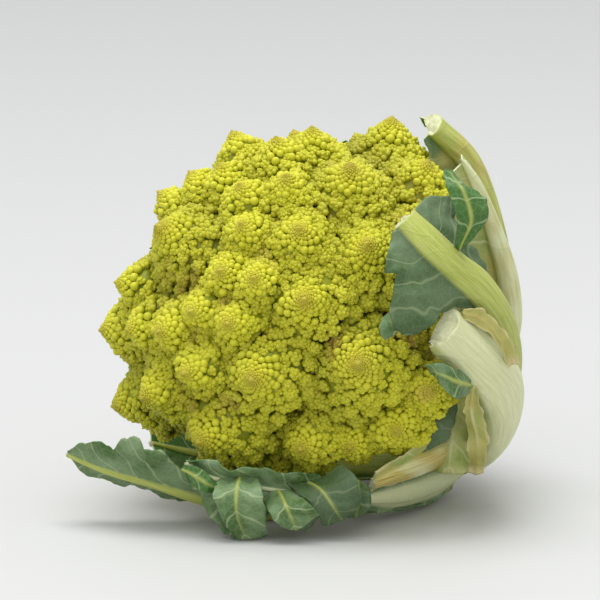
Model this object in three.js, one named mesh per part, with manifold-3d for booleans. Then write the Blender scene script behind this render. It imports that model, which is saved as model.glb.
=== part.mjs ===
// A romanesco head as bought: a dome of pointed florets round a thick stem, with the outer leaves cut
// short or bent, lying on its side on a table. The dome's apex points to the left, forwards and up, and
// the cut stem to the right, backwards and down.
//
// Millimetres and degrees, +Z up, the table at z = 0.
import * as THREE from "three";
import { mergeVertices } from "three/addons/utils/BufferGeometryUtils.js";
import Module from "manifold-3d";

const wasm = await Module();
wasm.setup();
const { degToRad, lerp, mapLinear } = THREE.MathUtils;

// Driving dimensions.
const centreHeight = 82; // the dome's centre above the table
const axisTip = 58.4; // how far the axis leans from upright
const axisHeading = 33.9; // which way it leans, turned from -X towards -Y
const apexRadius = 76; // dome's centre to the floret tips beside the crown
const rimRadius = 92; // dome's centre to the outermost tips
const crownReach = 83; // dome's centre to the apex itself
const crownWidth = 46;
const rimLean = 92; // the outermost florets' angle from the apex
const stemCut = -104; // where the stem is cut, along the axis
const stemTop = 34;
const stemRadius = 17;
const restHeight = 10; // the outer leaves hold the florets this far above the table
const joint = 0.3; // gap left where two pieces meet
const bladeThickness = 1.6;

const centre = new THREE.Vector3(0, 0, centreHeight);
const lying = new THREE.Quaternion()
  .setFromAxisAngle(new THREE.Vector3(0, 0, 1), degToRad(axisHeading))
  .multiply(new THREE.Quaternion().setFromAxisAngle(new THREE.Vector3(0, -1, 0), degToRad(axisTip)));

const colours = {
  curd: { color: 0xb9c23c, roughness: 0.62 },
  stem: { color: 0xcdd6a4, roughness: 0.55 },
  stalk: { color: 0xbccb8a, roughness: 0.5 },
  leaf: { color: 0x6f8c6a, roughness: 0.6 },
};

// A point round the head's axis, in the head's own frame.
function round(turn, out, up) {
  return new THREE.Vector3(out * Math.cos(degToRad(turn)), out * Math.sin(degToRad(turn)), up);
}

// Solids -----------------------------------------------------------------------------------------

function toSolid(geometry) {
  const bare = geometry.index ? geometry.toNonIndexed() : geometry.clone();
  for (const name of Object.keys(bare.attributes)) {
    if (name !== "position") bare.deleteAttribute(name);
  }
  const merged = mergeVertices(bare, 1e-3);
  return new wasm.Manifold(
    new wasm.Mesh({
      numProp: 3,
      vertProperties: new Float32Array(merged.attributes.position.array),
      triVerts: new Uint32Array(merged.index.array),
    }),
  );
}

function toGeometry(solid) {
  const { numVert, numProp, vertProperties, triVerts } = solid.getMesh();
  const position = new Float32Array(numVert * 3);
  for (let i = 0; i < numVert; i += 1) {
    position.set(vertProperties.subarray(i * numProp, i * numProp + 3), i * 3);
  }
  const geometry = new THREE.BufferGeometry();
  geometry.setAttribute("position", new THREE.BufferAttribute(position, 3));
  geometry.setIndex(new THREE.BufferAttribute(new Uint32Array(triVerts), 1));
  geometry.computeVertexNormals();
  return geometry;
}

// The largest piece of a cut solid, without crumbs.
function mainPiece(solid) {
  return solid.decompose().sort((a, b) => b.volume() - a.volume())[0];
}

// Keeps the side of a plane that the normal points to.
function trimmed(solid, normal, point) {
  return solid.trimByPlane(normal.toArray(), normal.dot(point));
}

// A copy grown by the joint gap, to cut a neighbour with.
function grown(geometry) {
  const bare = geometry.index ? geometry.toNonIndexed() : geometry.clone();
  for (const name of Object.keys(bare.attributes)) {
    if (name !== "position") bare.deleteAttribute(name);
  }
  const copy = mergeVertices(bare, 1e-3);
  copy.computeVertexNormals();
  const { position, normal } = copy.attributes;
  const point = new THREE.Vector3();
  const out = new THREE.Vector3();
  for (let i = 0; i < position.count; i += 1) {
    out.fromBufferAttribute(normal, i);
    point.fromBufferAttribute(position, i).addScaledVector(out, joint * 1.6);
    position.setXYZ(i, point.x, point.y, point.z);
  }
  return toSolid(copy);
}

function turnedProfile(points, sides) {
  return new THREE.LatheGeometry(
    points.map(([radius, height]) => new THREE.Vector2(radius, height)),
    sides,
  ).rotateX(Math.PI / 2);
}

// Florets ----------------------------------------------------------------------------------------

// The near side's florets, from the crown outwards. Each is [turn, lean, width] and, where the dome is
// not a full round there, its reach: turn goes right-handed about the axis from the topmost side, lean
// is the angle from the apex, and reach the distance from the dome's centre to the tip.
const nearFlorets = [
  [58, 25, 18],
  [24, 24, 17],
  [356, 27, 19],
  [322, 28, 19],
  [290, 29, 19],
  [257, 29, 23],
  [226, 31, 21],
  [199, 32, 23],
  [168, 33, 24],
  [130, 29, 20],
  [12, 41, 24],
  [343, 44, 23],
  [316, 42, 25],
  [289, 47, 32],
  [263, 40, 19],
  [240, 42, 25],
  [210, 46, 25],
  [183, 51, 33],
  [138, 45, 33],
  [345, 56, 25, 84],
  [317, 60, 42],
  [289, 66, 38],
  [265, 56, 40],
  [233, 58, 42],
  [203, 65, 38],
  [152, 64, 36, 88],
  [350, 83, 42],
  [325, 84, 30],
  [303, 82, 28],
  [281, 86, 26, 86],
  [257, 77, 48],
  [261, 99, 24, 94],
  [247, 99, 26, 91],
  [225, 84, 32, 84],
  [234, 95, 20, 84],
  [199, 88, 38, 82],
  [171, 90, 40, 82],
  [12, 65, 32, 77],
];
const farFlorets = 10;
const farReach = 0.86; // the far side is flatter than the near side
const goldenAngle = 137.508;

const domeRadius = (lean) => lerp(apexRadius, rimRadius, Math.sin(degToRad(lean)) ** 2);
const tipPlace = (lean, turn, reach = domeRadius(lean)) =>
  round(turn, reach * Math.sin(degToRad(lean)), reach * Math.cos(degToRad(lean)));

// Where a floret's branch leaves the stem, along the axis: the outer the floret, the lower its branch.
const branchHeight = (lean) => mapLinear(lean, 22, 98, 8, -52);

// The far side follows the plain spiral, one floret a golden angle on from the last, wherever the near
// side's florets leave room.
function allFlorets() {
  const florets = nearFlorets.map(([turn, lean, width, reach]) => {
    return { width, lean, tip: tipPlace(lean, turn, reach) };
  });
  for (let step = 0; florets.length < nearFlorets.length + farFlorets && step < 600; step += 1) {
    const share = 1 - (step % 50) / 50;
    const lean = lerp(32, rimLean, share);
    const width = lerp(30, 50, share);
    const turn = (step * goldenAngle) % 360;
    const tip = tipPlace(lean, turn, farReach * domeRadius(lean));
    const free = florets.every((other) => other.tip.distanceTo(tip) > 0.4 * (other.width + width));
    if (free) florets.push({ width, lean, tip });
  }
  return florets;
}

// A floret in its own frame: a pointed, ribbed cone on a short branch, its foot at the origin and its
// tip on +Z. The ribs wind like the spirals of its buds.
function floretGeometry(width, length) {
  const cone = 0.82 * width;
  const branch = 0.17 * width;
  const shoulder = length - cone;
  const outline = [
    [0, 0],
    [branch, 0],
    [branch, shoulder * 0.75],
    [0.37 * width, length - 0.78 * cone],
    [0.5 * width, length - 0.56 * cone],
    [0.41 * width, length - 0.34 * cone],
    [0.19 * width, length - 0.1 * cone],
    [0, length],
  ];
  const geometry = turnedProfile(outline, 10);
  const { position } = geometry.attributes;
  for (let i = 0; i < position.count; i += 1) {
    const x = position.getX(i);
    const y = position.getY(i);
    const z = position.getZ(i);
    if (z < shoulder || z > length - 0.02 * width) continue;
    const wind = Math.atan2(y, x) * 5 + ((z - shoulder) / cone) * 4;
    const rib = 1 + 0.05 * Math.sin(wind);
    position.setXYZ(i, x * rib, y * rib, z);
  }
  return geometry;
}

// The plane between two florets: it holds their mean direction, and lies nearer to the narrower one.
function planeBetween(mine, theirs) {
  const away = mine.waist.clone().sub(theirs.waist);
  const along = mine.direction.clone().add(theirs.direction).normalize();
  const normal = away.clone().addScaledVector(along, -away.dot(along)).normalize();
  const share = theirs.width / (mine.width + theirs.width);
  const point = theirs.waist.clone().addScaledVector(away, share);
  return { normal, point: point.addScaledVector(normal, joint / 2 + 0.02) };
}

function layOut({ width, lean, tip }) {
  const foot = new THREE.Vector3(0, 0, branchHeight(lean));
  const direction = tip.clone().sub(foot).normalize();
  const waist = tip.clone().addScaledVector(direction, -0.42 * width);
  return { width, foot, tip, direction, waist, length: tip.distanceTo(foot) };
}

const stemProfile = (extra) => [
  [0, stemCut - extra],
  [stemRadius - 1.5 + extra, stemCut - extra],
  [stemRadius + extra, stemCut + 2],
  [stemRadius + 1 + extra, -62],
  [stemRadius - 3 + extra, -20],
  [9 + extra, stemTop + extra],
  [0, stemTop + extra],
];

const crownProfile = () => [
  [0, stemTop + joint],
  [8, stemTop + joint],
  [0.36 * crownWidth, stemTop + 8],
  [0.5 * crownWidth, stemTop + 17],
  [0.44 * crownWidth, crownReach - 21],
  [0.3 * crownWidth, crownReach - 12],
  [0.16 * crownWidth, crownReach - 4.5],
  [0.05 * crownWidth, crownReach - 0.8],
  [0, crownReach],
];

// Leaves -----------------------------------------------------------------------------------------

// Each leaf grows from the stem to its cut or torn end through stations: a place [x, y, z] above the
// table, then the blade's width to the left and right of the midrib, and the stalk's half width and
// thickness. A fold turns that half of the blade inwards, to the curd, from the midrib on.
const leaves = {
  leaf_cut_stalk: {
    material: "stalk",
    stations: [
      [68, 27, 22, 12, 12, 11, 12],
      [76, 10, 15, 15, 15, 13, 13],
      [86, -10, 24, 15, 16, 14, 14],
      [91, -31, 42, 16, 17, 14, 15],
      [88, -52, 59, 15, 16, 13, 14],
      [77, -68, 74, 13, 13, 11, 13],
      [60, -81, 90, 10, 10, 9, 11],
    ],
  },
  leaf_upper_stalk: {
    material: "leaf",
    stations: [
      [76, 33, 38, 9, 9, 8, 10],
      [86, 14, 42, 10, 10, 9, 11],
      [92, -12, 54, 11, 11, 9, 11],
      [92, -38, 72, 11, 11, 9, 11],
      [87, -56, 88, 13, 13, 9, 10],
      [76, -68, 103, 20, 20, 8, 9],
      [64, -76, 114, 33, 36, 7, 9],
      [53, -79, 125, 36, 36, 7, 8],
      [44, -78, 134, 18, 12, 6, 7],
    ],
  },
  leaf_right_stalk: {
    material: "stalk",
    stations: [
      [80, 44, 40, 8, 8, 7, 8],
      [86, 30, 56, 9, 9, 7, 8],
      [90, 14, 76, 9, 10, 6.5, 8],
      [88, 4, 98, 9, 12, 6, 7],
      [82, -6, 120, 9, 14, 5.5, 6],
      [74, -16, 140, 9, 16, 4.5, 5],
      [66, -24, 154, 7, 10, 3.5, 4],
    ],
  },
  leaf_top_back: {
    material: "leaf",
    stations: [
      [82, 54, 52, 8, 8, 7, 8],
      [88, 46, 78, 9, 10, 7, 8],
      [83, 32, 112, 9, 14, 7, 8],
      [73, 18, 142, 9, 18, 7, 8],
      [57, 6, 161, 7, 12, 6, 7],
    ],
  },
  leaf_back_upper: {
    material: "leaf",
    stations: [
      [73, 64, 48, 9, 9, 8, 9],
      [71, 76, 78, 11, 11, 8, 10],
      [51, 79, 118, 20, 20, 8, 10],
      [30, 72, 138, 28, 28, 7, 8],
      [12, 62, 147, 20, 22, 5, 6],
    ],
  },
  leaf_back_mid: {
    material: "leaf",
    stations: [
      [62, 64, 36, 10, 10, 9, 10],
      [42, 86, 50, 13, 13, 10, 11],
      [6, 97, 72, 24, 24, 9, 11],
      [-26, 90, 92, 34, 34, 7, 9],
      [-48, 74, 104, 28, 28, 5, 6],
      [-58, 62, 110, 12, 13, 4, 4],
    ],
  },
  leaf_back_low: {
    material: "leaf",
    stations: [
      [57, 46, 12, 9, 9, 8, 9],
      [42, 58, 7, 12, 12, 9, 10],
      [14, 62, 5, 20, 20, 8, 9],
      [-20, 58, 6, 28, 26, 6, 8],
      [-46, 48, 12, 24, 22, 4, 6],
      [-62, 38, 18, 10, 10, 3, 4],
    ],
  },
  leaf_low_long: {
    material: "leaf",
    stations: [
      [50, 34, 9, 8, 8, 7, 9],
      [38, 16, 4, 9, 9, 7, 9],
      [16, -8, 3.5, 10, 10, 7, 9],
      [-10, -32, 3.5, 12, 14, 6, 8],
      [-36, -48, 12, 15, 22, 5, 7],
      [-60, -50, 19, 14, 25, 4, 5],
      [-80, -46, 24, 10, 18, 3, 4],
      [-95, -40, 29, 3, 4, 2, 2.5],
    ],
  },
  leaf_low_front: {
    material: "leaf",
    foldLeft: -62,
    foldRight: 10,
    stations: [
      [66, 12, 10, 9, 9, 7, 9],
      [56, -10, 8, 9, 9, 7, 9],
      [40, -34, 9, 9, 9, 6, 8],
      [22, -56, 14, 15, 10, 5, 7],
      [1, -68, 18, 20, 11, 4, 6],
      [-20, -72, 22, 23, 11, 3.5, 5],
      [-36, -72, 26, 14, 9, 3, 4],
      [-45, -69, 31, 4, 5, 2, 2.5],
    ],
  },
  leaf_low_mid: {
    material: "stalk",
    stations: [
      [78, 18, 34, 8, 8, 7, 8],
      [74, -6, 32, 9, 9, 7, 8],
      [63, -32, 30, 8, 10, 6, 7],
      [48, -50, 28, 7, 11, 6, 6],
      [33, -60, 24, 6, 9, 5, 5],
    ],
  },
};

const stationsAlong = 13; // sections along a leaf

// A smooth run of one of the stations' numbers, at a share of the way along the leaf.
function smoothRun(values, share) {
  const curve = new THREE.CatmullRomCurve3(values.map((value) => new THREE.Vector3(value, 0, 0)));
  return curve.getPoint(share).x;
}

// One section of a leaf: its outer side from left to right, then its inner side back. The blade follows
// the head's curve, and is pressed flat where it meets the table.
function leafSection({ place, tangent, left, right, stalk, thick }, { foldLeft = 0, foldRight = 0 }) {
  const outward = place.clone().sub(centre);
  outward.addScaledVector(tangent, -outward.dot(tangent));
  const reach = outward.length();
  outward.normalize();
  const side = tangent.clone().cross(outward);
  const pointAt = (distance, raise) => {
    const fold = degToRad(distance < 0 ? foldLeft : foldRight);
    const bend = fold + Math.abs(distance) / reach;
    const sideways = Math.sign(distance) * reach * (Math.sin(bend) - Math.sin(fold));
    const inwards = reach * (Math.cos(fold) - Math.cos(bend));
    return place.clone().addScaledVector(side, sideways).addScaledVector(outward, raise - inwards);
  };
  const leftEdge = -Math.max(left, stalk + 1);
  const rightEdge = Math.max(right, stalk + 1);
  const distances = [leftEdge, (leftEdge - stalk) / 2, -stalk, -0.55 * stalk, 0];
  distances.push(0.55 * stalk, stalk, (rightEdge + stalk) / 2, rightEdge);
  const halfThickness = (distance) => {
    const inStalk = Math.max(0, 1 - (distance / stalk) ** 2);
    return lerp(bladeThickness, thick, Math.sqrt(inStalk)) / 2;
  };
  const outer = distances.map((distance) => pointAt(distance, halfThickness(distance)));
  const inner = distances.map((distance) => pointAt(distance, -halfThickness(distance)));
  inner.forEach((point, i) => {
    outer[i].z = Math.max(outer[i].z, 0);
    if (point.z < outer[i].z + 1) point.z = Math.max(point.z, bladeThickness);
  });
  return [...outer, ...inner.reverse()];
}

// Joins the sections into one closed skin, with a flat cap at either end.
function leafGeometry(leaf) {
  const spine = new THREE.CatmullRomCurve3(
    leaf.stations.map(([x, y, z]) => new THREE.Vector3(x, y, z)),
  );
  const column = (index) => leaf.stations.map((station) => station[index]);
  const sections = [];
  for (let i = 0; i <= stationsAlong; i += 1) {
    const share = i / stationsAlong;
    const shape = {
      place: spine.getPoint(share),
      tangent: spine.getTangent(share),
      left: smoothRun(column(3), share),
      right: smoothRun(column(4), share),
      stalk: smoothRun(column(5), share),
      thick: smoothRun(column(6), share),
    };
    sections.push(leafSection(shape, leaf));
  }
  const ring = sections[0].length;
  const positions = sections.flat().flatMap((point) => point.toArray());
  const index = [];
  for (let i = 0; i < stationsAlong; i += 1) {
    for (let j = 0; j < ring; j += 1) {
      const a = i * ring + j;
      const b = i * ring + ((j + 1) % ring);
      index.push(a, b, a + ring, b, b + ring, a + ring);
    }
  }
  const last = stationsAlong * ring;
  for (let j = 0; j < ring / 2 - 1; j += 1) {
    const a = j;
    const b = j + 1;
    const c = ring - 2 - j;
    const d = ring - 1 - j;
    index.push(a, c, b, a, d, c);
    index.push(last + a, last + b, last + c, last + a, last + c, last + d);
  }
  const geometry = new THREE.BufferGeometry();
  geometry.setAttribute("position", new THREE.Float32BufferAttribute(positions, 3));
  geometry.setIndex(index);
  return geometry;
}

// The whole head ---------------------------------------------------------------------------------

const romanesco = new THREE.Group();
const material = (name) => new THREE.MeshStandardMaterial({ ...colours[name], metalness: 0 });

function addPiece(name, solid, look) {
  const mesh = new THREE.Mesh(toGeometry(mainPiece(solid)), material(look));
  mesh.name = name;
  romanesco.add(mesh);
  return mesh;
}

const inPlace = new THREE.Matrix4().compose(centre, lying, new THREE.Vector3(1, 1, 1));
const placed = (solid) => solid.transform(inPlace.elements);
const stem = placed(toSolid(turnedProfile(stemProfile(0), 20)));
const stemCutter = placed(toSolid(turnedProfile(stemProfile(joint), 20)));
addPiece("stem", stem, "stem");

const leafCutters = [];
for (const [name, leaf] of Object.entries(leaves)) {
  let solid = toSolid(leafGeometry(leaf)).subtract(stemCutter);
  for (const cutter of leafCutters) solid = solid.subtract(cutter);
  const mesh = addPiece(name, solid, leaf.material);
  leafCutters.push(grown(mesh.geometry));
}

const crownPlace = {
  width: crownWidth,
  direction: new THREE.Vector3(0, 0, 1),
  waist: new THREE.Vector3(0, 0, crownReach - 0.42 * crownWidth),
};
const florets = allFlorets().map(layOut);
const near = (a, b) => a.waist.distanceTo(b.waist) < 0.8 * (a.width + b.width);

function fitted(mine, solid) {
  let cut = solid;
  for (const other of [crownPlace, ...florets]) {
    if (other === mine || !near(mine, other)) continue;
    const { normal, point } = planeBetween(mine, other);
    cut = trimmed(cut, normal, point);
  }
  cut = trimmed(placed(cut), new THREE.Vector3(0, 0, 1), new THREE.Vector3(0, 0, restHeight));
  cut = cut.subtract(stemCutter);
  for (const cutter of leafCutters) cut = cut.subtract(cutter);
  return cut;
}

addPiece("crown", fitted(crownPlace, toSolid(turnedProfile(crownProfile(), 18))), "curd");

florets.forEach((floret, i) => {
  const stand = new THREE.Matrix4().compose(
    floret.foot,
    new THREE.Quaternion().setFromUnitVectors(new THREE.Vector3(0, 0, 1), floret.direction),
    new THREE.Vector3(1, 1, 1),
  );
  const solid = toSolid(floretGeometry(floret.width * 1.12, floret.length).applyMatrix4(stand));
  addPiece(`floret_${String(i + 1).padStart(2, "0")}`, fitted(floret, solid), "curd");
});

// The row's origin is under the middle of the whole head.
const middle = new THREE.Box3().setFromObject(romanesco).getCenter(new THREE.Vector3());
for (const mesh of romanesco.children) mesh.geometry.translate(-middle.x, -middle.y, 0);

export default romanesco;
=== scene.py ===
import math

import bpy
import numpy as np
from mathutils import Matrix, Vector, noise


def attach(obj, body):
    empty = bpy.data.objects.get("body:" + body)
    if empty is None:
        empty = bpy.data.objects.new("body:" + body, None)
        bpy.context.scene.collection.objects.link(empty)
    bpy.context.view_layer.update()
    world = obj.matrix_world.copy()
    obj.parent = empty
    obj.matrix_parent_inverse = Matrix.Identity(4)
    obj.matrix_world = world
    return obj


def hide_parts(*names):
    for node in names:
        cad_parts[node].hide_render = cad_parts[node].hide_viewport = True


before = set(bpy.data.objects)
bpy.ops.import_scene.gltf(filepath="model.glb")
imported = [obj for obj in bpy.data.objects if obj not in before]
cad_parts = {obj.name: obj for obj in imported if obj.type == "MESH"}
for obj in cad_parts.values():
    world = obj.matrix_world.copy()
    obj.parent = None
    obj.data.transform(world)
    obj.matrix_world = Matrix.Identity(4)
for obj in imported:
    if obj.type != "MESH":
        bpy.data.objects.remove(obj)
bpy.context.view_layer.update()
bpy.ops.object.select_all(action="DESELECT")

mm = 0.001
goldenAngle = math.radians(137.508)

# Where the head lies: the same place and lean as the frame's.
head = {
    "middle": (2.21, 2.47),  # the frame's origin, under the middle of the head's box
    "centreHeight": 82,  # the dome's centre above the table
    "axisTip": 58.4,  # how far the axis leans from upright
    "axisHeading": 33.9,  # which way it leans, from -X towards -Y
    "apexRadius": 76,
    "rimRadius": 92,
    "crownReach": 83,
    "crownWidth": 46,
}

centre = np.array([0.0, 0.0, head["centreHeight"]])
lying = np.array(
    Matrix.Rotation(math.radians(head["axisHeading"]), 3, "Z")
    @ Matrix.Rotation(math.radians(head["axisTip"]), 3, Vector((0, -1, 0)))
)


def toFrame(points):
    # from the dome's own millimetres to the frame's metres
    return (points - np.array([head["middle"][0], head["middle"][1], 0])) * mm


def unit(vectors):
    return vectors / np.linalg.norm(vectors, axis=-1, keepdims=True)


def softNoise(points, size, seed):
    # smooth noise from -1 to 1, with lumps of that size in millimetres
    shift = Vector((seed * 17.3, seed * 5.1, seed * 9.7))
    return np.array([noise.noise(Vector(p) / size + shift) for p in points])


def makeMesh(name, points, triangles, attributes=(), uv=None):
    mesh = bpy.data.meshes.new(name)
    mesh.vertices.add(len(points))
    mesh.vertices.foreach_set("co", toFrame(points).astype(np.float32).ravel())
    mesh.loops.add(len(triangles) * 3)
    mesh.loops.foreach_set("vertex_index", triangles.astype(np.int32).ravel())
    mesh.polygons.add(len(triangles))
    mesh.polygons.foreach_set("loop_start", np.arange(0, len(triangles) * 3, 3, dtype=np.int32))
    mesh.update(calc_edges=True)
    mesh.validate()
    for key, values in dict(attributes).items():
        attribute = mesh.attributes.new(key, "FLOAT", "POINT")
        attribute.data.foreach_set("value", values.astype(np.float32))
    if uv is not None:
        layer = mesh.uv_layers.new(name="UVMap")
        layer.data.foreach_set("uv", uv[triangles.ravel()].astype(np.float32).ravel())
    mesh.polygons.foreach_set("use_smooth", np.ones(len(triangles), dtype=bool))
    piece = bpy.data.objects.new(name, mesh)
    bpy.context.collection.objects.link(piece)
    return piece


def addToObject(piece, node, material):
    piece.data.materials.append(material)
    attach(piece, "root")
    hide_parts(node)


# Florets
buds = {
    "share": 0.33,  # a bud's width, as a share of its distance from the floret's tip
    "broadShare": 0.25,  # the same on the broadest florets, whose buds are finer for their size
    "firstBud": 2.3,  # where the buds start, below the smooth tip
    "smallestBud": 0.95,
    "knobblyFrom": 3.5,  # wider buds carry a few low bumps
    "compoundFrom": 6.0,  # and wider ones still are little florets themselves
    "widestBud": 9.5,
    "fineBelow": 1.2,  # narrower buds are made of fewer faces
    "spread": 1.12,  # how much wider than its cone a floret grows, to meet its neighbours
    "packing": 0.96,  # the area each bud takes up, as a share of its width squared
    "missing": 0.02,  # the share of the larger buds that never grew
    # by the bud's width: how far it stands out of the flesh, and how full it has grown
    "atWidths": [0.8, 2.0, 4.0, 6.0],
    "standsOut": [-0.42, -0.27, -0.15, 0.02],
    "fullness": [1.4, 1.27, 1.14, 1.06],
    # the flank of a floret: its slope in degrees, at these shares of the way from the tip
    "flankAt": [0, 0.03, 0.14, 0.34, 0.56, 0.8, 1],
    "flankSlope": [78, 45, 43, 48, 44, 14, -42],
}

# Every floret as [turn, lean, width, reach]: turn about the head's axis from its topmost side, lean
# from the apex, and the distance from the dome's centre to the tip where it isn't the dome's own.
nearFlorets = [
    (58, 25, 18), (24, 24, 17), (356, 27, 19), (322, 28, 19), (290, 29, 19), (257, 29, 23),
    (226, 31, 21), (199, 32, 23), (168, 33, 24), (130, 29, 20), (12, 41, 24), (343, 44, 23),
    (316, 42, 25), (289, 47, 32), (263, 40, 19), (240, 42, 25), (210, 46, 25), (183, 51, 33),
    (138, 45, 33), (345, 56, 25, 84), (317, 60, 42), (289, 66, 38), (265, 56, 40), (233, 58, 42),
    (203, 65, 38), (152, 64, 36, 88), (350, 83, 42), (325, 84, 30), (303, 82, 28), (281, 86, 26, 86),
    (257, 77, 48), (261, 99, 24, 94), (247, 99, 26, 91), (225, 84, 32, 84), (234, 95, 20, 84),
    (199, 88, 38, 82), (171, 90, 40, 82), (12, 65, 32, 77),
]


# Tan, knocked places on the curd: the middle, the radius and how brown
bruises = [
    ((43, -60, 84), 10, 0.75), ((25, -78, 38), 9, 0.8), ((-65, -50, 49), 4, 0.6),
    ((-55, -55, 42), 4, 0.6), ((-47, -62, 55), 4, 0.5), ((52, -70, 60), 5, 0.4),
]


def domeRadius(lean):
    share = math.sin(math.radians(lean)) ** 2
    return head["apexRadius"] + (head["rimRadius"] - head["apexRadius"]) * share


def tipPlace(turn, lean, reach):
    turn, lean = math.radians(turn), math.radians(lean)
    side = math.sin(lean)
    return reach * np.array([side * math.cos(turn), side * math.sin(turn), math.cos(lean)])


def layOut():
    rows = [(lean, width, tipPlace(turn, lean, reach[0] if reach else domeRadius(lean)))
            for turn, lean, width, *reach in nearFlorets]
    # then broader ones, wherever the far side is still bare
    for step in range(600):
        share = 1 - (step % 50) / 50
        lean = 32 + 60 * share
        width = 30 + 20 * share
        tip = tipPlace((step * 137.508) % 360, lean, 0.86 * domeRadius(lean))
        if all(np.linalg.norm(other - tip) > 0.4 * (wide + width) for _, wide, other in rows):
            rows.append((lean, width, tip))
    florets = []
    for lean, width, tip in rows:
        foot = np.array([0, 0, 8 - 60 * (lean - 22) / 76])
        florets.append({"width": width, "lean": lean, "tip": tip, "foot": foot})
    crownTip = np.array([0.0, 0.0, head["crownReach"]])
    crown = {"width": head["crownWidth"], "lean": 0, "tip": crownTip, "foot": np.array([0.0, 0, 30])}
    for floret in [crown, *florets]:
        floret["tip"] = lying @ floret["tip"] + centre
        floret["foot"] = lying @ floret["foot"] + centre
        floret["length"] = np.linalg.norm(floret["tip"] - floret["foot"])
        floret["axis"] = (floret["tip"] - floret["foot"]) / floret["length"]
        floret["waist"] = floret["tip"] - 0.42 * floret["width"] * floret["axis"]
        floret["reach"] = np.linalg.norm(floret["tip"] - centre)
    return crown, florets


def outline(width, samples=160):
    # distance down the flank, radius and depth of a floret from its tip to where it turns under
    share = np.linspace(0, 1, samples)
    steepness = np.radians(np.interp(share, buds["flankAt"], buds["flankSlope"]))
    radius = np.concatenate([[0], np.cumsum(np.sin(steepness[1:]))])
    depth = np.concatenate([[0], np.cumsum(np.cos(steepness[1:]))])
    scale = width / 2 / radius.max()
    return share * (samples - 1) * scale, radius * scale, depth * scale, steepness


def windBuds(width, share, first, smallest, widest):
    # buds wound down the flank, each a golden angle on from the last and far enough down to fit
    run, radius, depth, steepness = outline(width)
    found = []
    along, angle = first, 0.0
    while along < run[-1]:
        size = min(max(share * along, smallest), widest)
        found.append((along, angle, size))
        here = max(np.interp(along, run, radius), 0.2)
        along += buds["packing"] * size * size / (2 * math.pi * here)
        angle += goldenAngle
    found = np.array(found)
    r = np.interp(found[:, 0], run, radius)
    z = -np.interp(found[:, 0], run, depth)
    slope = np.interp(found[:, 0], run, steepness)
    turn = found[:, 1]
    around = np.stack([np.cos(turn), np.sin(turn)], axis=1)
    places = np.concatenate([around * r[:, None], z[:, None]], axis=1)
    normals = np.concatenate([around * np.cos(slope)[:, None], np.sin(slope)[:, None]], axis=1)
    return places, normals, found[:, 2]


def coreBody(width, share, sides, rings, sink):
    # the solid flesh under the buds, closed at the bottom
    run, radius, depth, steepness = outline(width)
    at = run[-1] * np.linspace(0, 1, rings) ** 1.5
    size = np.minimum(share * at, buds["widestBud"])
    r = np.maximum(np.interp(at, run, radius) - sink * size * np.cos(np.interp(at, run, steepness)), 0)
    z = -np.interp(at, run, depth) - sink * size * np.sin(np.interp(at, run, steepness))
    turn = np.arange(sides) * 2 * math.pi / sides
    ring = np.stack([np.cos(turn), np.sin(turn), np.zeros(sides)], axis=1)
    points = [np.array([[0, 0, z[0]]])]
    for i in range(1, rings):
        points.append(ring * r[i] + np.array([0, 0, z[i]]))
    points.append(np.array([[0, 0, z[-1]]]))
    points = np.concatenate(points)
    faces = []
    for j in range(sides):
        k = (j + 1) % sides
        faces.append((0, 1 + j, 1 + k))
        for i in range(rings - 2):
            a, b = 1 + i * sides + j, 1 + i * sides + k
            faces += [(a, a + sides, b + sides), (a, b + sides, b)]
        last = 1 + (rings - 2) * sides
        faces.append((last + j, len(points) - 1, last + k))
    return points, np.array(faces)


def turnedTo(directions, spins):
    # turns each bud's own Z to its direction
    z = unit(directions)
    helper = np.where(np.abs(z[:, 2:3]) > 0.9, np.array([[1.0, 0, 0]]), np.array([[0, 0, 1.0]]))
    x = unit(np.cross(helper, z))
    y = np.cross(z, x)
    c, s = np.cos(spins)[:, None], np.sin(spins)[:, None]
    return np.stack([x * c + y * s, y * c - x * s, z], axis=2)


def copyTo(shape, places, turns, sizes):
    # copies of one shape: its points, faces and painted crevice shade, at each place
    points, faces, creviceShade = shape
    moved = np.einsum("nij,nvj->nvi", turns, points[None] * sizes[:, None, :]) + places[:, None, :]
    offsets = np.arange(len(places)) * len(points)
    return (
        moved.reshape(-1, 3),
        (faces[None] + offsets[:, None, None]).reshape(-1, 3),
        np.tile(creviceShade, len(places)),
    )


def joined(parts):
    points, faces, creviceShade, start = [], [], [], 0
    for part in parts:
        points.append(part[0])
        faces.append(part[1] + start)
        creviceShade.append(part[2])
        start += len(part[0])
    return np.concatenate(points), np.concatenate(faces), np.concatenate(creviceShade)


def modelBud(segments, rings):
    # one bud: a small sphere drawn out to a blunt point
    bpy.ops.mesh.primitive_uv_sphere_add(segments=segments, ring_count=rings, radius=0.5)
    bud = bpy.context.object
    bpy.ops.object.mode_set(mode="EDIT")
    bpy.ops.mesh.select_all(action="DESELECT")
    bpy.ops.object.mode_set(mode="OBJECT")
    for vertex in bud.data.vertices:
        vertex.select = vertex.co.z > 0.4
    bpy.ops.object.mode_set(mode="EDIT")
    bpy.ops.transform.translate(value=(0, 0, 0.04))
    bpy.ops.mesh.select_all(action="SELECT")
    bpy.ops.mesh.quads_convert_to_tris()
    bpy.ops.object.mode_set(mode="OBJECT")
    points = np.array([v.co for v in bud.data.vertices])
    faces = np.array([list(p.vertices) for p in bud.data.polygons])
    # painted shade: the bud's lower half is marked darker, as shade in the crevice under it
    creviceShade = np.clip(0.62 - points[:, 2] * 1.3, 0, 1)
    bpy.data.objects.remove(bud)
    return points, faces, creviceShade


# The low bumps on a bud that is a little floret itself, in shares of a bump's own width
bumps = {"sunk": 0.36, "leastFull": 1.18, "mostFull": 1.42, "uneven": 0.05, "stretched": 0.07}


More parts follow.
